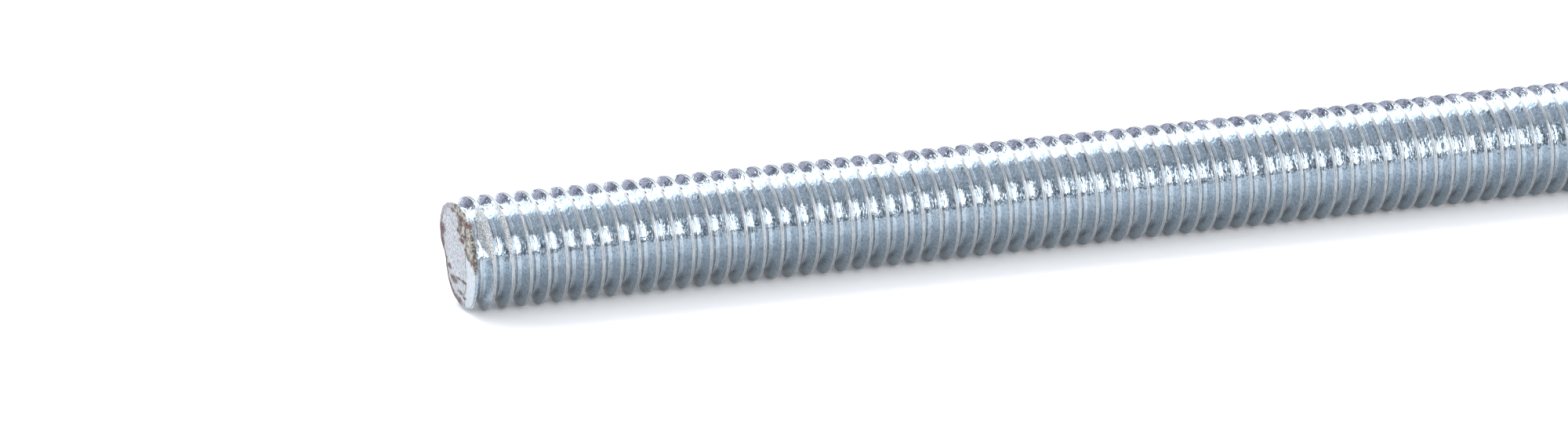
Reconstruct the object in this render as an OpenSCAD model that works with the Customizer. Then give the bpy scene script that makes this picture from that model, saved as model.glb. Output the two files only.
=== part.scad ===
// Short length of fully threaded steel rod, lying along X.
// The solid is the rod's envelope: the cylinder over the thread crests, with one
// end sheared slightly askew and the other cut square.
// Origin: on the rod's axis, halfway along it. +X points from the sheared end
// to the square end, +Z is up. Units are millimetres.

/* [Rod] */
// Overall length, from the tip of the sheared end to the square end
rod_l = 60; // [30:1:200]
// Diameter over the thread crests (M5 in tolerance class 6g is 4.83 to 4.98)
major_d = 4.86; // [4.8:0.01:5]
// Thread pitch (the shear crushes the first threads over a length set by it)
pitch = 0.8; // [0.5:0.05:0.8]

/* [Sheared end] */
// Angle of the sheared face from square, leaning back towards the bottom
shear_deg = 3; // [0:0.5:8]
// How far the shear has pushed the rim in, on the radius
rollover = 0.14; // [0:0.01:0.3]
// How many threads the pushed-in rim reaches over
rollover_turns = 1.5; // [0.5:0.25:2.5]

/* [Square end] */
// Width of the broken edge at the square end
edge_break = 0.05; // [0:0.01:0.2]

/* [Hidden] */
$fn = 96;

major_r = major_d / 2;
// length of the pushed-in rim along the rod
rollover_l = rollover_turns * pitch;
// the skew face runs from the tip at the top to this far back at the bottom
shear_back = major_d * tan(shear_deg);

// Half outline of the rod, [radius, length], turned about the rod's axis
function outline() = concat(
    [
        [0, -rod_l / 2 - 1],
        [major_r - rollover, -rod_l / 2 - 1],
        [major_r - rollover, -rod_l / 2]
    ],
    [[major_r, -rod_l / 2 + rollover_l + shear_back / 2]],
    edge_break > 0
        ? [[major_r, rod_l / 2 - edge_break], [major_r - edge_break, rod_l / 2]]
        : [[major_r, rod_l / 2]],
    [[0, rod_l / 2]]
);

// The turned bar, laid along X
module bar() {
    rotate([0, 90, 0])
        rotate_extrude()
            polygon(outline());
}

// Everything beyond the sheared face: a block hinged at the top of the rim
module shear_cutter() {
    translate([-rod_l / 2, 0, major_r - rollover])
        rotate([0, -shear_deg, 0])
            translate([-5, -major_d, -3 * major_d])
                cube([5, 2 * major_d, 5 * major_d]);
}

module rod() {
    color([0.72, 0.75, 0.79])
        difference() {
            bar();
            shear_cutter();
        }
}

rod();
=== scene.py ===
import math

import bmesh
import bpy
import numpy as np
from mathutils import Matrix, Vector


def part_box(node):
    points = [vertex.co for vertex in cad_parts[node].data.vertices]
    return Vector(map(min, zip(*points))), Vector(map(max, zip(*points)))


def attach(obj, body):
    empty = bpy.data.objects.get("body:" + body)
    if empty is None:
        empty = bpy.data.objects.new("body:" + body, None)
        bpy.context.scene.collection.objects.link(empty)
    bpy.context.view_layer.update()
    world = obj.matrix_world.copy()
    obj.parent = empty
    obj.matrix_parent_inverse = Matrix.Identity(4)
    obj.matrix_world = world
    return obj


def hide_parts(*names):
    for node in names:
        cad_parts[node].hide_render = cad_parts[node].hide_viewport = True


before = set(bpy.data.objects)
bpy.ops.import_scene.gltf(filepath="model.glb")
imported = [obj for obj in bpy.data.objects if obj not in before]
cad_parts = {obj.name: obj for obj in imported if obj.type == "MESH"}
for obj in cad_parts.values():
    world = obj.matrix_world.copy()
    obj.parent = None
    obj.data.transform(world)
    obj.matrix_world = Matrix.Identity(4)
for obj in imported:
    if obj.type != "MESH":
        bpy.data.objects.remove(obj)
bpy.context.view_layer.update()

# --------------------------------------------------------------------------
# Sizes, in millimetres. The rod's box comes from the CAD frame.
# --------------------------------------------------------------------------
lo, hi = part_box("rod")
X0, X1 = lo.x * 1000, hi.x * 1000
R = (hi.z - lo.z) * 500
P = 0.8                                   # thread pitch
XC = X0 + 0.684                           # crest number 0, where it passes the top
TILT = math.tan(math.radians(3.0))        # lean of the sheared face
XF = X0 + 0.12                            # the sheared face on the rod's axis
TAU = 2 * math.pi


# --------------------------------------------------------------------------
# Helpers
# --------------------------------------------------------------------------
def smooth(a, b, x):
    """0 below a, 1 above b, with soft ends; a may be above b."""
    t = np.clip((np.asarray(x, float) - a) / (b - a), 0, 1)
    return t * t * (3 - 2 * t)


def _hash(i, j, k, seed):
    n = (i * 73856093) ^ (j * 19349663) ^ (k * 83492791) ^ (seed * 2654435761)
    n = (n ^ (n >> 13)) & 0x7FFFFFFF
    n = (n * (n * n * 15731 + 789221) + 1376312589) & 0x7FFFFFFF
    return n / 0x3FFFFFFF - 1.0


def noise(x, y, z, seed=0):
    """Smooth value noise in -1..1, the same on every run."""
    x, y, z = np.broadcast_arrays(*(np.asarray(v, float) for v in (x, y, z)))
    f = [np.floor(v).astype(np.int64) for v in (x, y, z)]
    t = [v - g for v, g in zip((x, y, z), f)]
    t = [v * v * (3 - 2 * v) for v in t]
    out = np.zeros(x.shape)
    for a in (0, 1):
        for b in (0, 1):
            for c in (0, 1):
                w = (t[0] if a else 1 - t[0]) * (t[1] if b else 1 - t[1]) * (t[2] if c else 1 - t[2])
                out += w * _hash(f[0] + a, f[1] + b, f[2] + c, seed)
    return out


def ring_table(pairs):
    """A smooth closed function of the angle round the rod, from (degrees, value) pairs."""
    d = np.array([p[0] for p in pairs], float)
    v = np.array([p[1] for p in pairs], float)
    d = np.concatenate([d - 360, d, d + 360])
    v = np.tile(v, 3)

    def f(angle):
        a = np.degrees(np.asarray(angle, float)) % 360
        i = np.clip(np.searchsorted(d, a, side="right") - 1, 0, len(d) - 2)
        t = (a - d[i]) / (d[i + 1] - d[i])
        t = t * t * (3 - 2 * t)
        return v[i] * (1 - t) + v[i + 1] * t

    return f


# --------------------------------------------------------------------------
# Thread form: drop below the crest against offset from the crest's centre,
# both in pitches. ISO metric with a flat root well rounded at its corners,
# and the crest's shoulders worn a little round.
# --------------------------------------------------------------------------
DEPTH = 0.56
CREST_W = 0.072                           # half width of the crest
FLANK = math.tan(math.radians(60))
SHOULDER_L, SHOULDER_R, FILLET = 0.06, 0.06, 0.09


def thread_drop(s):
    s = np.asarray(s, float)
    u = np.abs(s)
    d = np.clip((u - CREST_W) * FLANK, 0, DEPTH)
    # rounding of a corner that turns by 60 degrees, about its own point
    for at, rad, side, sign in ((CREST_W, SHOULDER_L, -1, 1), (CREST_W, SHOULDER_R, 1, 1),
                                (CREST_W + DEPTH / FLANK, FILLET, 0, -1)):
        t = rad * math.tan(math.radians(30))          # length of the round along the flat
        near = (u > at - t) & (u < at + t * 0.5) & ((side == 0) | (np.sign(s) == side))
        q = np.where(sign > 0, u - (at - t), (at + t) - u)
        if sign < 0:
            near = (u < at + t) & (u > at - t * 0.5)
        arc = rad - np.sqrt(np.maximum(rad * rad - np.minimum(q, rad * 0.866) ** 2, 0))
        d = np.where(near, arc if sign > 0 else DEPTH - arc, d)
    return d


def profile_points(fine):
    out = []
    for at, rad, lo_, hi_ in ((-(CREST_W + DEPTH / FLANK), FILLET, -1, 1), (-CREST_W, SHOULDER_L, 1, -1),
                              (CREST_W, SHOULDER_R, -1, 1), (CREST_W + DEPTH / FLANK, FILLET, 1, -1)):
        t = rad * math.tan(math.radians(30))
        n = (6 if rad == FILLET else 4) if fine else (3 if rad == FILLET else 2)
        for i in range(n + 1):
            # from the end of the flat (q = 0) to the start of the flank (q = 0.866 of the radius)
            q = rad * math.sin(math.radians(60 * i / n))
            out.append(at + lo_ * t - lo_ * q)
    if fine:
        a_, b_ = CREST_W + 0.03, CREST_W + DEPTH / FLANK - 0.055
        out += [0.0] + [k_ * (a_ + (b_ - a_) * f_) for k_ in (-1, 1) for f_ in (0.17, 0.5, 0.83)]
    out = sorted(v for v in out if -0.5 < v < 0.499)
    return np.array([-0.5] + [v for v, w in zip(out, [-0.5] + out) if v - w > 0.004])


S_COARSE = profile_points(False)
S_FINE = profile_points(True)

# outline radius of the crushed rim round the sheared face
RIM = ring_table([(0, 2.18), (15, 2.12), (30, 2.13), (42, 2.18), (52, 2.24), (62, 2.28), (75, 2.28), (90, 2.26),
                  (105, 2.26), (120, 2.28), (135, 2.28), (150, 2.27), (165, 2.26), (180, 2.25), (195, 2.31),
                  (210, 2.39), (225, 2.35), (240, 2.17), (252, 2.03), (258, 2.06), (264, 2.24), (275, 2.34),
                  (288, 2.42), (312, 2.42), (325, 2.33), (340, 2.23)])
# length over which the crushing dies away behind the face
RIM_REACH = ring_table([(0, 0.30), (40, 0.18), (60, 0.12), (110, 0.12), (150, 0.22), (185, 0.30), (215, 0.34), (250, 0.3),
                        (275, 0.42), (310, 0.42), (340, 0.34)])


def surface(turn, s):
    """Point on the threaded surface, and masks, for a turn number and an offset across the thread."""
    drop = thread_drop(s)
    a = TAU * turn                                      # angle round the rod, from the top towards the front
    x = XC + P * (turn + s)
    # every crest wavers a little, in height and in width
    wav = noise(turn * 7.0, 3.1, 0.0, 1) * 0.55 + noise(turn * 19.0, 7.7, 0.0, 2) * 0.45
    wid = noise(turn * 5.0, 1.3, 0.0, 3) * 0.6 + noise(turn * 23.0, 9.2, 0.0, 4) * 0.4
    crest = smooth(0.10, 0.06, np.abs(s))
    r = R - P * drop
    r = r - crest * P * (0.005 + 0.005 * wav)
    x = x + crest * P * 0.012 * wid * np.sign(s + 1e-9)

    deg = np.degrees(a) % 360
    deg = np.where(deg > 180, deg - 360, deg)
    # crests pressed flat on the upper front of the first threads, and smeared towards the sheared end
    n = np.floor(turn + 0.08)
    press = np.select([n == -1, n == 0, n == 1, n == 2, n == 3], [0.05, 0.13, 0.055, 0.015, 0.0], 0.0)
    smear = np.select([n == 0, n == 1], [0.36, 0.09], 0.0)
    win = smooth(8, 50, deg) * smooth(88, 58, deg) * (press > 0)
    grain = noise(x / 0.07, a * R / 0.07, 0.0, 8) * 0.010 + noise(x / 0.16, a * R / 0.16, 0.0, 9) * 0.012
    cap = R - press * win
    sl = CREST_W + 0.02 + smear * win                    # how far the smear reaches down the left flank
    foot = R - P * thread_drop(-sl) + 0.03
    q = np.clip((-s - CREST_W) / np.maximum(sl - CREST_W, 1e-3), 0, 1)
    ramp = cap + (np.minimum(foot, cap) - cap) * q
    left = smooth(sl + 0.012, sl - 0.012, -s) * (s < 0) * (smear > 0) * (win > 0.02)
    flat = np.maximum(smooth(-0.004, 0.012, r - cap), left) * smooth(0.03, 0.25, win)
    r = np.where(r > cap, cap, r)
    r = np.where(left > 0.5, np.maximum(r, ramp), r) + grain * flat * win

    y, z = -r * np.sin(a), r * np.cos(a)
    d = x - (XF - TILT * z)                             # distance behind the sheared face
    # rim crushed to its own outline
    w = smooth(RIM_REACH(a), 0.0, d)
    r = r * (1 - w) + RIM(a) * w
    # the crumbled run-out of the first thread
    br = smooth(8, 30, deg) * smooth(104, 84, deg) * smooth(0.42, 0.06, d) * smooth(R - 0.30, R - 0.16, r)
    lump = noise(x / 0.16, a * R / 0.17, 1.0, 10) * 0.6 + noise(x / 0.075, a * R / 0.08, 2.0, 11) * 0.4
    r = r + br * (0.085 * lump - 0.075)
    r = np.minimum(r, min(hi.z, hi.y) * 1000 - 0.0005)
    return x, a, r, flat, br


# --------------------------------------------------------------------------
# Mesh: one helical strip, fine near the sheared end and coarser beyond,
# stitched where the two meet, then cut by the two end planes and capped.
# --------------------------------------------------------------------------
T_START, T_SPLIT = -2, 3
T_END = int(math.ceil((X1 - XC) / P + 1.7))
NF, NC = 200, 60


def zipper(out, a, ta, b, tb):
    i = j = 0
    while i < len(a) - 1 or j < len(b) - 1:
        if j == len(b) - 1 or (i < len(a) - 1 and ta[i + 1] <= tb[j + 1] + 1e-9):
            out.append((a[i], b[j], a[i + 1]))
            i += 1
        else:
            out.append((a[i], b[j], b[j + 1]))
            j += 1


def point(turn, s):
    x, a, r, _, _ = surface(turn, s)
    return np.stack([x, -r * np.sin(a), r * np.cos(a)], -1)


def surface_normal(turn, s):
    """Unit normal of the threaded surface, so that the flat flanks shade as flat."""
    dt = point(turn + 2e-4, s) - point(turn - 2e-4, s)
    ds = point(turn, s + 2e-4) - point(turn, s - 2e-4)
    n = np.cross(dt, ds)
    n /= np.maximum(np.linalg.norm(n, axis=-1, keepdims=True), 1e-12)
    a = TAU * turn
    out = -n[..., 1] * np.sin(a) + n[..., 2] * np.cos(a)
    return n * np.where(out < 0, -1, 1)[..., None]


def build_strip():
    tf = np.linspace(T_START, T_SPLIT, (T_SPLIT - T_START) * NF + 1)
    tc = np.linspace(T_SPLIT, T_END, (T_END - T_SPLIT) * NC + 1)[1:]
    parts, nrm = [], []
    for t, s in ((tf, S_FINE), (tc, S_COARSE)):
        T, S = np.meshgrid(t, s, indexing="ij")
        parts.append(surface(T, S))
        nrm.append(surface_normal(T, S).reshape(-1, 3))
    nrm = np.concatenate(nrm)
    x, a, r, flat, burr = (np.concatenate([p[k].ravel() for p in parts]) for k in range(5))
    co = np.stack([x, -r * np.sin(a), r * np.cos(a)], 1)
    kf, kc, nf, nc = len(S_FINE), len(S_COARSE), len(tf) - 1, len(tc)
    base = (nf + 1) * kf

    def F(i, k):
        return i * kf + k

    def C(j, k):                                         # j = 0 is the fine strip's last column
        return F(nf, 0) if j == 0 else base + (j - 1) * kc + k

    faces = []
    for i in range(nf):
        for k in range(kf - 1):
            faces.append((F(i, k), F(i, k + 1), F(i + 1, k + 1), F(i + 1, k)))
        if i + 1 + NF <= nf:
            faces.append((F(i, kf - 1), F(i + NF, 0), F(i + 1 + NF, 0), F(i + 1, kf - 1)))
    tri = []
    zipper(tri, [F(i, kf - 1) for i in range(nf - NF, nf + 1)], np.linspace(0, 1, NF + 1),
           [C(j, 0) for j in range(NC + 1)], np.linspace(0, 1, NC + 1))
    tri2 = []
    zipper(tri2, [F(nf, k) for k in range(kf)] + [C(NC, 0)], list(S_FINE) + [0.5],
           [C(1, k) for k in range(kc)] + [C(1 + NC, 0)], list(S_COARSE) + [0.5])
    faces += tri + [t[::-1] for t in tri2]
    for j in range(1, nc):
        for k in range(kc - 1):
            faces.append((C(j, k), C(j, k + 1), C(j + 1, k + 1), C(j + 1, k)))
        if j + 1 + NC <= nc:
            faces.append((C(j, kc - 1), C(j + NC, 0), C(j + 1 + NC, 0), C(j + 1, kc - 1)))
    return co, nrm, faces, flat, burr


def loop_order(edges):
    """Vertices of one closed boundary loop, in order."""
    link = {}
    for e in edges:
        u, v = e.verts
        link.setdefault(u, []).append(v)
        link.setdefault(v, []).append(u)
    start = next(iter(link))
    order, prev = [start], None
    while True:
        nxt = [v for v in link[order[-1]] if v is not prev]
        prev = order[-1]
        if nxt[0] is start and len(order) > 2:
            break
        if nxt[0] in (start,):
            nxt = nxt[1:]
            if not nxt:
                break
        order.append(nxt[0])
        if len(order) > len(link):
            break
    return order


def face_relief(y, z):
    """How far the sheared face stands proud (towards -X), with the masks of its regions."""
    a = np.degrees(np.arctan2(-y, z)) % 360
    a2 = np.where(a > 180, a - 360, a)
    r = np.hypot(y, z)
    rel = 0.010 * noise(y / 0.7, z / 0.7, 0.3, 21) + 0.006 * noise(y / 0.25, z / 0.3, 0.7, 22)
    # pale strip on the lower front, stepped back behind a short ragged lip
    edge = -0.80 + 0.10 * np.clip(-z, 0, 3) + 0.30 * np.clip(-z - 0.9, 0, 3) + 0.05 * noise(z / 0.16, 0.2, 0.1, 23)
    strip = smooth(0.06, -0.06, y - edge) * smooth(0.30, 0.12, z + 0.05 * noise(y / 0.2, z / 0.2, 0.1, 24))
    rel = rel + 0.07 * smooth(-0.9, -2.0, y) - 0.018 * strip * smooth(-1.5, -0.9, y)
    # broken metal on the upper front
    line = np.interp(-y, [-0.3, 0.0, 0.05, 0.5, 1.0, 1.4, 2.0, 2.6], [1.95, 1.72, 1.08, 0.68, 0.08, 0.0, -0.08, -0.35])
    broken = smooth(-0.05, 0.07, z - line + 0.09 * noise(y / 0.2, z / 0.2, 1.1, 25)) * (y < 0.3)
    lump = noise(y / 0.34, z / 0.24, 2.3, 26) * 0.65 + noise(y / 0.16, z / 0.12, 3.3, 27) * 0.35
    rel = rel + broken * (0.070 * lump - 0.010)
    # the rim on the back is pushed out past the face
    rel = rel + 0.04 * smooth(2.0, 2.42, r) * smooth(255, 275, a) * smooth(340, 318, a)
    # the rest of the rim is rounded over a little
    rel = rel - 0.010 * smooth(2.20, 2.42, r) * (1 - smooth(255, 275, a) * smooth(340, 318, a))
    return rel, strip, broken


def set_normals(me):
    """The thread keeps its true normals; the caps and the crushed end keep the mesh's own."""
    nl = len(me.loops)
    own = np.empty(nl * 3, np.float32)
    me.corner_normals.foreach_get("vector", own)
    own = own.reshape(-1, 3)
    vi = np.empty(nl, np.int32)
    me.loops.foreach_get("vertex_index", vi)
    start = np.empty(len(me.polygons), np.int32)
    total = np.empty(len(me.polygons), np.int32)
    me.polygons.foreach_get("loop_start", start)
    me.polygons.foreach_get("loop_total", total)
    capf = np.empty(len(me.polygons), np.int32)
    me.attributes["cap"].data.foreach_get("value", capf)
    capl = np.repeat(capf, total)
    true = np.empty(len(me.vertices) * 3, np.float32)
    me.attributes["true_normal"].data.foreach_get("vector", true)
    true = true.reshape(-1, 3)[vi]
    co = np.empty(len(me.vertices) * 3, np.float32)
    me.vertices.foreach_get("co", co)
    x = co.reshape(-1, 3)[vi, 0] * 1000
    w = np.where(capl > 0, 0.0, smooth(XF + 0.45, XF + 0.75, x))[:, None]
    n = own * (1 - w) + true * w
    n /= np.maximum(np.linalg.norm(n, axis=1, keepdims=True), 1e-9)
    me.normals_split_custom_set(n.tolist())
    me.attributes.remove(me.attributes["true_normal"])
    me.attributes.remove(me.attributes["cap"])


def build_rod():
    co, nrm, faces, flat, burr = build_strip()
    me = bpy.data.meshes.new("rod_thread")
    me.from_pydata((co / 1000).tolist(), [], faces)
    for name, val in (("flat", flat), ("burr", burr)):
        me.attributes.new(name, "FLOAT", "POINT").data.foreach_set("value", val.astype(np.float32))
    for name in ("face", "strip", "broken", "rimd"):
        me.attributes.new(name, "FLOAT", "POINT")
    me.attributes.new("true_normal", "FLOAT_VECTOR", "POINT").data.foreach_set(
        "vector", nrm.astype(np.float32).ravel())
    bm = bmesh.new()
    bm.from_mesh(me)
    k = 0.001
    # cut off what lies beyond the two end planes
    nrm = Vector((1, 0, TILT)).normalized()
    bmesh.ops.bisect_plane(bm, geom=bm.verts[:] + bm.edges[:] + bm.faces[:], dist=2e-6,
                           plane_co=Vector((XF * k, 0, 0)), plane_no=nrm, clear_inner=True)
    bmesh.ops.bisect_plane(bm, geom=bm.verts[:] + bm.edges[:] + bm.faces[:], dist=2e-6,
                           plane_co=Vector((X1 * k, 0, 0)), plane_no=Vector((1, 0, 0)), clear_outer=True)
    lay = {n: bm.verts.layers.float[n] for n in ("flat", "burr", "face", "strip", "broken", "rimd")}
    cap = bm.faces.layers.int.new("cap")
    edges = [e for e in bm.edges if e.is_boundary]
    near = [e for e in edges if e.verts[0].co.x < 0]
    far = [e for e in edges if e.verts[0].co.x > 0]
    for group, rings, seg in ((near, 24, 168), (far, 6, 72)):
        rim = loop_order(group)
        ang = [math.atan2(-v.co.y, v.co.z) % TAU for v in rim]
        # start at the smallest angle, going up
        s0 = ang.index(min(ang))
        rim, ang = rim[s0:] + rim[:s0], ang[s0:] + ang[:s0]
        if sum(1 for i in range(len(ang) - 1) if ang[i + 1] > ang[i]) < len(ang) / 2:
            rim, ang = [rim[0]] + rim[:0:-1], [ang[0]] + ang[:0:-1]
        rad = np.array([math.hypot(v.co.y, v.co.z) for v in rim])
        isnear = group is near
        ga = np.linspace(0, TAU, seg, endpoint=False)
        ar = np.interp(ga, np.concatenate([np.array(ang) - TAU, ang, np.array(ang) + TAU]), np.tile(rad, 3))
        # smooth the outline a little for the inner rings
        sm = ar.copy()
        for _ in range(6):
            sm = (np.roll(sm, 1) + 2 * sm + np.roll(sm, -1)) / 4
        ringsv = []
        for q in range(1, rings + 1):
            f = 1 - q / (rings + 0.6)
            f = f if q > 1 else 1 - 0.55 / (rings + 0.6)
            rr = (ar if q == 1 else sm) * f
            row = []
            for t, r in zip(ga, rr):
                y, z = -r * math.sin(t), r * math.cos(t)
                x = (XF * k - TILT * z) if isnear else X1 * k
                row.append(bm.verts.new((x, y, z)))
            ringsv.append(row)
        centre = bm.verts.new((XF * k if isnear else X1 * k, 0, 0))
        tri = []
        zipper(tri, rim + [rim[0]], ang + [ang[0] + TAU], ringsv[0] + [ringsv[0][0]], list(ga) + [TAU])
        for a_, b_ in zip(ringsv, ringsv[1:]):
            for i in range(seg):
                j = (i + 1) % seg
                tri.append((a_[i], b_[i], b_[j], a_[j]))
        for i in range(seg):
            tri.append((ringsv[-1][i], centre, ringsv[-1][(i + 1) % seg]))
        for t in tri:
            t = t if isnear else t[::-1]
            if len(set(t)) == len(t):
                bm.faces.new(t)[cap] = 1
        for row in ringsv:
            for v in row:
                v[lay["face"]] = 1.0 if isnear else 0.35
        centre[lay["face"]] = 1.0 if isnear else 0.35
    # relief of the sheared face, fading out over the first threads
    vs = [v for v in bm.verts if v.co.x * 1000 < XF + 0.75]
    c = np.array([v.co[:] for v in vs]) * 1000
    rel, strip, broken = face_relief(c[:, 1], c[:, 2])
    d = c[:, 0] - (XF - TILT * c[:, 2])
    fade = smooth(0.45, 0.02, d)
    nx = np.maximum(c[:, 0] - rel * fade, X0)
    ang, rad = np.arctan2(-c[:, 1], c[:, 2]), np.hypot(c[:, 1], c[:, 2])
    inside = np.where(d > 0.01, np.maximum(d, 0.0) + 0.02, np.maximum(RIM(ang) - rad, 0.0))
    for v, x, st, br, fd, ri in zip(vs, nx, strip, broken, smooth(0.16, 0.0, d), inside):
        v.co.x = x / 1000
        v[lay["strip"]] = st * fd
        v[lay["broken"]] = br * fd
        v[lay["rimd"]] = 1.0 - min(ri, 1.0)
    bmesh.ops.remove_doubles(bm, verts=bm.verts[:], dist=1.5e-6)
    bmesh.ops.dissolve_degenerate(bm, dist=1e-7, edges=bm.edges[:])
    for v in bm.verts:
        v.co.x = min(max(v.co.x, lo.x), hi.x)
    bmesh.ops.recalc_face_normals(bm, faces=bm.faces[:])
    bm.to_mesh(me)
    bm.free()
    me.polygons.foreach_set("use_smooth", [True] * len(me.polygons))
    me.set_sharp_from_angle(angle=math.radians(58))
    set_normals(me)
    ob = bpy.data.objects.new("threaded_rod", me)
    bpy.context.collection.objects.link(ob)
    return ob


# --------------------------------------------------------------------------
# Materials
# --------------------------------------------------------------------------
class Nodes:
    """Short way to write node trees."""

    def __init__(self, tree):
        self.t = tree

    def new(self, kind, **props):
        n = self.t.nodes.new(kind)
        for k_, v in props.items():
            setattr(n, k_, v)
        return n

    def put(self, socket, v):
        if isinstance(v, bpy.types.NodeSocket):
            self.t.links.new(v, socket)
        else:
            socket.default_value = v

    def math(self, op, a, b=None, c=None, clamp=False):
        n = self.new("ShaderNodeMath", operation=op, use_clamp=clamp)
        for i, v in enumerate((a, b, c)):
            if v is not None:
                self.put(n.inputs[i], v)
        return n.outputs[0]

    def ramp(self, v, a, b, lo_=0.0, hi_=1.0):
        """Smooth step of v between a and b."""
        n = self.new("ShaderNodeMapRange", interpolation_type="SMOOTHSTEP", clamp=True)
        for i, w in enumerate((v, a, b, lo_, hi_)):
            self.put(n.inputs[i], w)
        return n.outputs[0]

    def mix(self, f, a, b):
        n = self.new("ShaderNodeMix", data_type="RGBA")
        self.put(n.inputs[0], f)
        self.put(n.inputs[6], a)
        self.put(n.inputs[7], b)
        return n.outputs[2]

    def mixf(self, f, a, b):
        n = self.new("ShaderNodeMix", data_type="FLOAT")
        self.put(n.inputs[0], f)
        self.put(n.inputs[2], a)
        self.put(n.inputs[3], b)
        return n.outputs[0]

    def noise(self, vec, scale, detail=2.0, rough=0.5, **kw):
        n = self.new("ShaderNodeTexNoise")
        self.put(n.inputs["Vector"], vec)
        n.inputs["Scale"].default_value = scale
        n.inputs["Detail"].default_value = detail
        n.inputs["Roughness"].default_value = rough
        for k_, v in kw.items():
            n.inputs[k_].default_value = v
        return n.outputs[0]

    def attr(self, name):
        return self.new("ShaderNodeAttribute", attribute_name=name).outputs["Fac"]


def col(r, g, b):
    return (r, g, b, 1.0)


def zinc_material():
    m = bpy.data.materials.new("zinc_plated_steel")
    m.use_nodes = True
    m.node_tree.nodes.clear()
    N = Nodes(m.node_tree)
    out = N.new("ShaderNodeOutputMaterial")
    bsdf = N.new("ShaderNodeBsdfPrincipled")
    N.put(out.inputs["Surface"], bsdf.outputs[0])
    geo = N.new("ShaderNodeTexCoord").outputs["Object"]
    mm = N.new("ShaderNodeVectorMath", operation="SCALE")      # object space in millimetres
    N.put(mm.inputs[0], geo)
    mm.inputs["Scale"].default_value = 1000.0
    mm = mm.outputs[0]
    sep = N.new("ShaderNodeSeparateXYZ")
    N.put(sep.inputs[0], mm)
    x, y, z = sep.outputs
    rad = N.math("SQRT", N.math("ADD", N.math("MULTIPLY", y, y), N.math("MULTIPLY", z, z)))
    depth = N.math("SUBTRACT", R, rad)                           # below the crests

    flat, burr = N.attr("flat"), N.attr("burr")
    face, strip, broken, rimd = N.attr("face"), N.attr("strip"), N.attr("broken"), N.attr("rimd")
    crest = N.ramp(depth, 0.055, 0.012)
    # offset across the thread, in pitches, 0 on a crest's centre
    turn = N.math("MULTIPLY", N.math("ARCTAN2", N.math("MULTIPLY", y, -1.0), z), 1 / TAU)
    across = N.math("SUBTRACT", N.math("MULTIPLY_ADD", x, 1 / P, 0.5 - XC / P), turn)
    across = N.math("SUBTRACT", N.math("FRACT", across), 0.5)

    # streaks that run with the thread: long round the rod, short along it
    st = N.new("ShaderNodeVectorMath", operation="MULTIPLY")
    N.put(st.inputs[0], mm)
    st.inputs[1].default_value = (9.0, 2.2, 2.2)
    streak = N.noise(st.outputs[0], 3.0, 3.0, 0.6)
    mottle = N.noise(mm, 9.0, 3.0, 0.62)
    # the plating's grain: drawn out along the thread
    hel = N.new("ShaderNodeCombineXYZ")
    N.put(hel.inputs[0], x)
    N.put(hel.inputs[1], rad)
    N.put(hel.inputs[2], N.math("MULTIPLY", turn, TAU * 2.2 * 0.42))
    grain = N.noise(hel.outputs[0], 10.0, 1.0, 0.5)
    grain2 = N.noise(mm, 5.0, 0.0, 0.5)
    fine = N.noise(mm, 26.0, 2.0, 0.6)
    broad = N.noise(mm, 1.3, 2.0, 0.5)
    cells = N.new("ShaderNodeTexVoronoi", feature="F1")
    N.put(cells.inputs["Vector"], hel.outputs[0])
    cells.inputs["Scale"].default_value = 9.0
    pick = N.new("ShaderNodeSeparateXYZ")
    N.put(pick.inputs[0], cells.outputs["Color"])
    # raised grains of plating, only in some of the cells
    grains = N.math("MULTIPLY", N.ramp(cells.outputs["Distance"], 0.5, 0.0), N.ramp(pick.outputs[0], 0.50, 0.85))
    pits = N.ramp(N.noise(mm, 13.0, 2.0, 0.7), 0.66, 0.74)

    # colour
    blue = N.mix(N.ramp(mottle, 0.32, 0.68), col(0.36, 0.435, 0.505), col(0.53, 0.595, 0.65))
    blue = N.mix(N.ramp(broad, 0.35, 0.7, 0.0, 0.35), blue, col(0.52, 0.555, 0.59))
    blue = N.mix(N.math("MULTIPLY", pits, 0.5), blue, col(0.16, 0.18, 0.20))
    # painted reflection: the flank on the +X side of each crest is painted pale, more so lower down; the painted shade
    # below darkens the lower -X flank, the root and its corner underneath
    thread = N.ramp(face, 0.10, 0.01)                            # none of this on the two end faces
    painted_reflection_flank = N.math("MULTIPLY", N.math("MULTIPLY", N.ramp(across, 0.05, 0.10), N.ramp(across, 0.46, 0.38)), thread)
    blue = N.mix(N.math("MULTIPLY", painted_reflection_flank, N.ramp(z, 1.2, 0.2, 0.5, 1.0)), blue, col(0.88, 0.92, 0.96))
    # painted shade: the -X flank and the root painted darker on the lower part of the rod
    painted_shade_low = N.math("MULTIPLY", N.ramp(across, -0.44, -0.30), N.ramp(across, 0.10, -0.02))
    painted_shade_low = N.math("MULTIPLY", N.math("MAXIMUM", painted_shade_low, N.ramp(N.math("ABSOLUTE", across), 0.36, 0.44, 0.0, 0.55)), N.ramp(z, 0.62, 0.18))
    painted_shade_low = N.math("MULTIPLY", painted_shade_low, thread)
    blue = N.mix(N.math("MULTIPLY", painted_shade_low, 0.75), blue, N.mix(N.ramp(mottle, 0.32, 0.68), col(0.16, 0.215, 0.265), col(0.29, 0.35, 0.40)))
    # painted shade: the root's corner at the foot of the -X flank painted near black on the underside
    painted_shade_corner = N.math("MULTIPLY", N.ramp(across, -0.50, -0.45), N.ramp(across, -0.22, -0.36))
    painted_shade_corner = N.math("MULTIPLY", N.math("MULTIPLY", painted_shade_corner, thread), N.ramp(N.math("MULTIPLY_ADD", broad, 0.9, z), -0.55, -1.15))
    blue = N.mix(N.math("MULTIPLY", painted_shade_corner, 0.75), blue, col(0.15, 0.17, 0.20))
    c = N.mix(crest, blue, N.mix(N.ramp(streak, 0.35, 0.7), col(0.36, 0.38, 0.40), col(0.50, 0.525, 0.545)))
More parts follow.
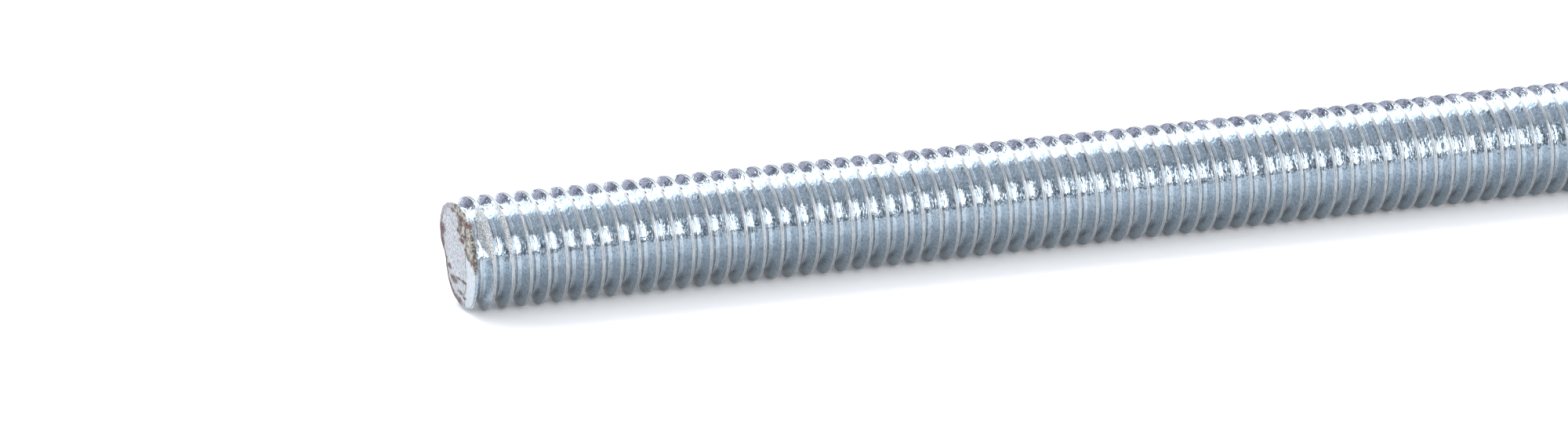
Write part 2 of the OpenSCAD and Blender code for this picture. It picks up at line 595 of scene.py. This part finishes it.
    # hairline along each crest, where the rolled metal closed up
    line = N.math("ABSOLUTE", N.math("ADD", across, N.math("MULTIPLY_ADD", streak, 0.05, -0.02)))
    line = N.math("MULTIPLY", N.ramp(line, 0.024, 0.008), N.ramp(N.noise(st.outputs[0], 1.2, 2.0, 0.6), 0.42, 0.55))
    line = N.math("MULTIPLY", line, crest)
    c = N.mix(N.math("MULTIPLY", line, 0.6), c, col(0.12, 0.11, 0.10))
    c = N.mix(flat, c, N.mix(N.ramp(fine, 0.36, 0.64), col(0.18, 0.19, 0.20), col(0.68, 0.70, 0.715)))
    # dark specks on the crest's lap
    lap = N.math("MULTIPLY", crest, N.ramp(N.noise(st.outputs[0], 5.0, 2.0, 0.6), 0.66, 0.74))
    c = N.mix(N.math("MULTIPLY", lap, 0.55), c, col(0.10, 0.09, 0.085))
    # the sheared face: matt grey zinc
    fcol = N.mix(N.ramp(mottle, 0.36, 0.64), col(0.31, 0.33, 0.365), col(0.56, 0.585, 0.62))
    fcol = N.mix(N.ramp(N.noise(mm, 6.5, 4.0, 0.75), 0.56, 0.65, 0.0, 0.85), fcol, col(0.17, 0.14, 0.14))
    fcol = N.mix(strip, fcol, N.mix(N.ramp(mottle, 0.3, 0.7), col(0.44, 0.48, 0.525), col(0.59, 0.63, 0.67)))
    # the short ragged lip between the face and its strip
    lip = N.math("MULTIPLY", N.math("MULTIPLY", N.ramp(strip, 0.15, 0.45), N.ramp(strip, 0.85, 0.55)),
                 N.ramp(N.noise(mm, 5.0, 2.0, 0.6), 0.36, 0.48))
    fcol = N.mix(N.math("MULTIPLY", lip, 0.95), fcol, col(0.13, 0.10, 0.10))
    c = N.mix(face, c, fcol)
    lumps = N.noise(mm, 3.8, 3.0, 0.65)
    olive = N.mix(N.ramp(lumps, 0.42, 0.58), col(0.065, 0.055, 0.045), col(0.43, 0.43, 0.395))
    olive = N.mix(N.ramp(fine, 0.50, 0.70, 0.0, 0.6), olive, col(0.64, 0.64, 0.61))
    olive = N.mix(N.ramp(N.noise(mm, 3.1, 2.0, 0.5), 0.54, 0.66, 0.0, 0.8), olive, col(0.13, 0.065, 0.050))
    bm_ = N.math("MAXIMUM", N.ramp(burr, 0.15, 0.7), N.ramp(broken, 0.2, 0.8))
    c = N.mix(bm_, c, olive)

    # rust, placed round the sheared end, its edges made ragged by one of three noises
    wobble = [N.math("MULTIPLY_ADD", N.noise(mm, f_, 4.0, 0.75), 2.0, -1.0) for f_ in (6.3, 8.2, 10.6)]

    def spot(cx, cy, cz, rx, ry, rz, soft, seed):
        v = N.new("ShaderNodeVectorMath", operation="SUBTRACT")
        N.put(v.inputs[0], mm)
        v.inputs[1].default_value = (cx, cy, cz)
        w = N.new("ShaderNodeVectorMath", operation="DIVIDE")
        N.put(w.inputs[0], v.outputs[0])
        w.inputs[1].default_value = (rx, ry, rz)
        ln = N.new("ShaderNodeVectorMath", operation="LENGTH")
        N.put(ln.inputs[0], w.outputs[0])
        return N.ramp(N.math("ADD", ln.outputs["Value"], wobble[seed]), 1.0, 1.0 - soft)

    spots = [
        spot(XF, 2.12, 0.62, 0.5, 0.52, 0.32, 0.45, 0),
        spot(XF, 2.16, 0.00, 0.5, 0.30, 0.32, 0.45, 1),
        spot(XF, 1.44, -0.86, 0.3, 0.34, 0.17, 0.5, 2),
        spot(XF, 0.98, -1.30, 0.3, 0.62, 0.24, 0.6, 0),
        spot(XF, 0.25, -1.12, 0.3, 0.42, 0.07, 0.5, 1),
        spot(XF, 0.15, -1.70, 0.3, 0.46, 0.12, 0.6, 2),
        spot(XF, 0.35, -2.06, 0.5, 0.36, 0.15, 0.6, 0),
        spot(XF, -0.40, -1.10, 0.3, 0.34, 0.10, 0.5, 1),
        spot(XF, -0.30, -1.82, 0.3, 0.30, 0.08, 0.5, 2),
        spot(XF, -0.04, 1.08, 0.3, 0.30, 0.14, 0.5, 0),
        spot(XF, -0.42, 0.74, 0.3, 0.34, 0.14, 0.5, 1),
        spot(XF, 0.50, 1.84, 0.5, 0.44, 0.12, 0.6, 2),
        spot(XF, -0.45, 1.72, 0.5, 0.62, 0.16, 0.5, 0),
        spot(XF, -1.25, 1.60, 0.5, 0.66, 0.17, 0.5, 1),
        spot(XF, -1.04, 1.00, 0.5, 0.22, 0.22, 0.5, 2),
        spot(XF, -1.85, 0.12, 0.2, 0.50, 0.13, 0.5, 0),
    ]
    rust = spots[0]
    for s_ in spots[1:]:
        rust = N.math("MAXIMUM", rust, s_)
    # a brown edge all down the back of the rim
    ragged = N.math("MULTIPLY_ADD", N.noise(mm, 6.0, 3.0, 0.65), 0.50, -0.25)
    edge = N.ramp(N.math("ADD", rimd, ragged), 0.70, 0.84)
    edge = N.math("MULTIPLY", N.math("MULTIPLY", edge, N.ramp(y, -0.3, 0.4)), N.ramp(z, 1.6, 0.5, 0.35, 1.0))
    rust = N.math("MAXIMUM", rust, N.math("MULTIPLY", edge, 0.95))
    rust = N.math("MULTIPLY", rust, N.ramp(x, XF + 0.30, XF + 0.10))
    rcol = N.mix(N.ramp(N.noise(mm, 9.0, 3.0, 0.65), 0.38, 0.62), col(0.035, 0.018, 0.017), col(0.150, 0.062, 0.056))
    c = N.mix(N.math("MULTIPLY", rust, 0.9), c, rcol)
    N.put(bsdf.inputs["Base Color"], c)

    # metal, roughness
    matt = N.math("MAXIMUM", N.math("MAXIMUM", N.math("MULTIPLY", rust, 1.0), N.math("MULTIPLY", bm_, 0.75)),
                  N.math("MULTIPLY", face, 0.35))
    N.put(bsdf.inputs["Metallic"], N.math("SUBTRACT", 1.0, matt))
    rough = N.math("ADD", 0.10, N.ramp(mottle, 0.3, 0.75, 0.0, 0.11))
    rough = N.mixf(crest, rough, 0.36)
    rough = N.mixf(flat, rough, 0.50)
    rough = N.mixf(face, rough, 0.62)
    rough = N.mixf(N.math("MAXIMUM", bm_, rust), rough, 0.85)
    N.put(bsdf.inputs["Roughness"], rough)

    # relief
    hgt = N.math("MULTIPLY", grain, 0.0135)
    hgt = N.math("MULTIPLY_ADD", grain2, 0.0080, hgt)
    hgt = N.math("MULTIPLY_ADD", fine, 0.0010, hgt)
    hgt = N.math("MULTIPLY_ADD", grains, 0.0080, hgt)
    hgt = N.math("MULTIPLY_ADD", pits, -0.0050, hgt)
    hgt = N.math("MULTIPLY_ADD", N.math("MULTIPLY", streak, crest), 0.008, hgt)
    # the crest is slightly hollow between its two edges
    hollow = N.math("MULTIPLY", N.ramp(N.math("ABSOLUTE", across), 0.065, 0.005), crest)
    hgt = N.math("MULTIPLY_ADD", hollow, -0.010, hgt)
    grainy = N.math("MAXIMUM", flat, N.math("MAXIMUM", bm_, face))
    hgt = N.math("MULTIPLY_ADD", N.math("MULTIPLY", N.noise(mm, 15.0, 3.0, 0.65), grainy), 0.030, hgt)
    bump = N.new("ShaderNodeBump")
    bump.inputs["Strength"].default_value = 1.0
    bump.inputs["Distance"].default_value = 0.001               # heights above are in millimetres
    N.put(bump.inputs["Height"], hgt)
    N.put(bsdf.inputs["Normal"], bump.outputs[0])
    return m


def floor_material():
    m = bpy.data.materials.new("white_table")
    m.use_nodes = True
    b = m.node_tree.nodes["Principled BSDF"]
    b.inputs["Base Color"].default_value = col(0.90, 0.90, 0.90)
    b.inputs["Roughness"].default_value = 0.6
    b.inputs["Specular IOR Level"].default_value = 0.0
    b.inputs["Emission Color"].default_value = col(0.96, 0.96, 1.0)
    b.inputs["Emission Strength"].default_value = 0.07
    return m


# --------------------------------------------------------------------------
# The piece
# --------------------------------------------------------------------------
rod = build_rod()
rod.data.materials.append(zinc_material())
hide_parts("rod")
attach(rod, "root")

# --------------------------------------------------------------------------
# Floor, light, camera
# --------------------------------------------------------------------------
fm = bpy.data.meshes.new("floor")
e = 3.0
zf = lo.z
fm.from_pydata([(-e, -e, zf), (e, -e, zf), (e, e, zf), (-e, e, zf)], [], [(0, 1, 2, 3)])
floor = bpy.data.objects.new("floor", fm)
bpy.context.collection.objects.link(floor)
floor.data.materials.append(floor_material())


def studio_world():
    """A pale room with plain soft boxes: a bright one in front, others behind, at the back left and to the right."""
    w = bpy.data.worlds.new("studio")
    w.use_nodes = True
    w.node_tree.nodes.clear()
    N = Nodes(w.node_tree)
    out = N.new("ShaderNodeOutputWorld")
    d = N.new("ShaderNodeTexCoord").outputs["Generated"]
    nz = N.new("ShaderNodeVectorMath", operation="NORMALIZE")
    N.put(nz.inputs[0], d)
    sep = N.new("ShaderNodeSeparateXYZ")
    N.put(sep.inputs[0], nz.outputs[0])
    x, y, z = sep.outputs
    deg = 180 / math.pi
    # bearings in degrees: from the front towards +X, and from the back towards -X
    front = N.math("MULTIPLY", N.math("ARCTAN2", x, N.math("MULTIPLY", y, -1.0)), deg)
    back = N.math("MULTIPLY", N.math("ARCTAN2", N.math("MULTIPLY", x, -1.0), y), deg)
    high = N.math("MULTIPLY", N.math("ARCSINE", z), deg)

    def band(v, a, b, soft):
        return N.math("MULTIPLY", N.ramp(v, a - soft, a + soft), N.ramp(v, b + soft, b - soft))

    # angle over the rod, from the front horizon (0) up (90) to the back horizon (180)
    over = N.math("MULTIPLY", N.math("ARCTAN2", z, N.math("MULTIPLY", y, -1.0)), deg)

    room = N.mix(N.ramp(high, 44, 62), col(0.10, 0.11, 0.14), col(0.72, 0.75, 0.80))
    # bearing, from, to, height from, to, softness, colour
    for way, a0, a1, h0, h1, soft, c in (
            (front, -175, 5, 60, 95, 8, col(1.40, 1.43, 1.50)),
            (front, 45, 72, 18, 60, 7, col(0.8, 0.83, 0.86)),
            (front, 72, 112, 18, 60, 6, col(1.2, 1.23, 1.26)),
            (front, 60, 112, -5, 22, 5, col(1.5, 1.53, 1.56)),
            (front, 110, 145, -5, 48, 5, col(2.1, 2.15, 2.2)),
            (front, -16, 26, 42, 56, 5, col(0.9, 0.92, 0.95)),
            (front, -14, 26, 8, 45, 3, col(5.4, 5.35, 5.3)),
            (back, 92, 138, -4, 24, 5, col(2.2, 2.25, 2.3)),
            (back, 64, 90, -6, 20, 4, col(0.12, 0.14, 0.17)),
            (back, -8, 44, 21, 44, 3, col(3.4, 3.45, 3.5)),
            (back, 26, 44, -6, 20, 3, col(0.22, 0.21, 0.28)),
            (back, 10, 26, -6, 19, 3, col(0.72, 0.69, 0.84)),
            (back, -8, 10, 12, 60, 4, col(3.2, 3.25, 3.3)),
            (back, 45, 63, 4, 31, 3, col(4.6, 4.65, 4.7))):
        room = N.mix(N.math("MULTIPLY", band(way, a0, a1, soft), band(high, h0, h1, soft)), room, c)
    top = N.math("MULTIPLY", N.ramp(over, 102, 118), N.ramp(over, 141, 134))
    room = N.mix(N.math("MULTIPLY", top, band(x, -0.8, 0.85, 0.06)), room, col(3.6, 3.7, 3.8))
    light = N.new("ShaderNodeBackground")
    N.put(light.inputs["Color"], room)
    seen = N.new("ShaderNodeBackground")
    seen.inputs["Color"].default_value = col(1, 1, 1)
    seen.inputs["Strength"].default_value = 1.6
    path = N.new("ShaderNodeLightPath")
    mix = N.new("ShaderNodeMixShader")
    N.put(mix.inputs[0], path.outputs["Is Camera Ray"])
    N.put(mix.inputs[1], light.outputs[0])
    N.put(mix.inputs[2], seen.outputs[0])
    N.put(out.inputs["Surface"], mix.outputs[0])
    return w


scene = bpy.context.scene
scene.world = studio_world()
scene.view_settings.view_transform = "Standard"
scene.view_settings.look = "None"
scene.view_settings.exposure = 0.0
scene.view_settings.gamma = 1.0

cam_data = bpy.data.cameras.new("camera")
cam_data.sensor_fit = "HORIZONTAL"
cam_data.sensor_width = 36.0
cam_data.lens = 179.86
cam_data.clip_start = 0.01
cam_data.clip_end = 20.0
cam_data.dof.use_dof = False
cam = bpy.data.objects.new("camera", cam_data)
bpy.context.collection.objects.link(cam)
az, el = math.radians(20.8722), math.radians(16.2518)
back = Vector((-math.sin(az) * math.cos(el), -math.cos(az) * math.cos(el), math.sin(el)))
right = Vector((math.cos(az), -math.sin(az), 0.0))
up = back.cross(right)
cam.matrix_world = Matrix((
    (right.x, up.x, back.x, lo.x - 0.0990810),
    (right.y, up.y, back.y, -0.2982721),
    (right.z, up.z, back.z, 0.0931291),
    (0, 0, 0, 1)))
scene.camera = cam

bpy.context.view_layer.update()
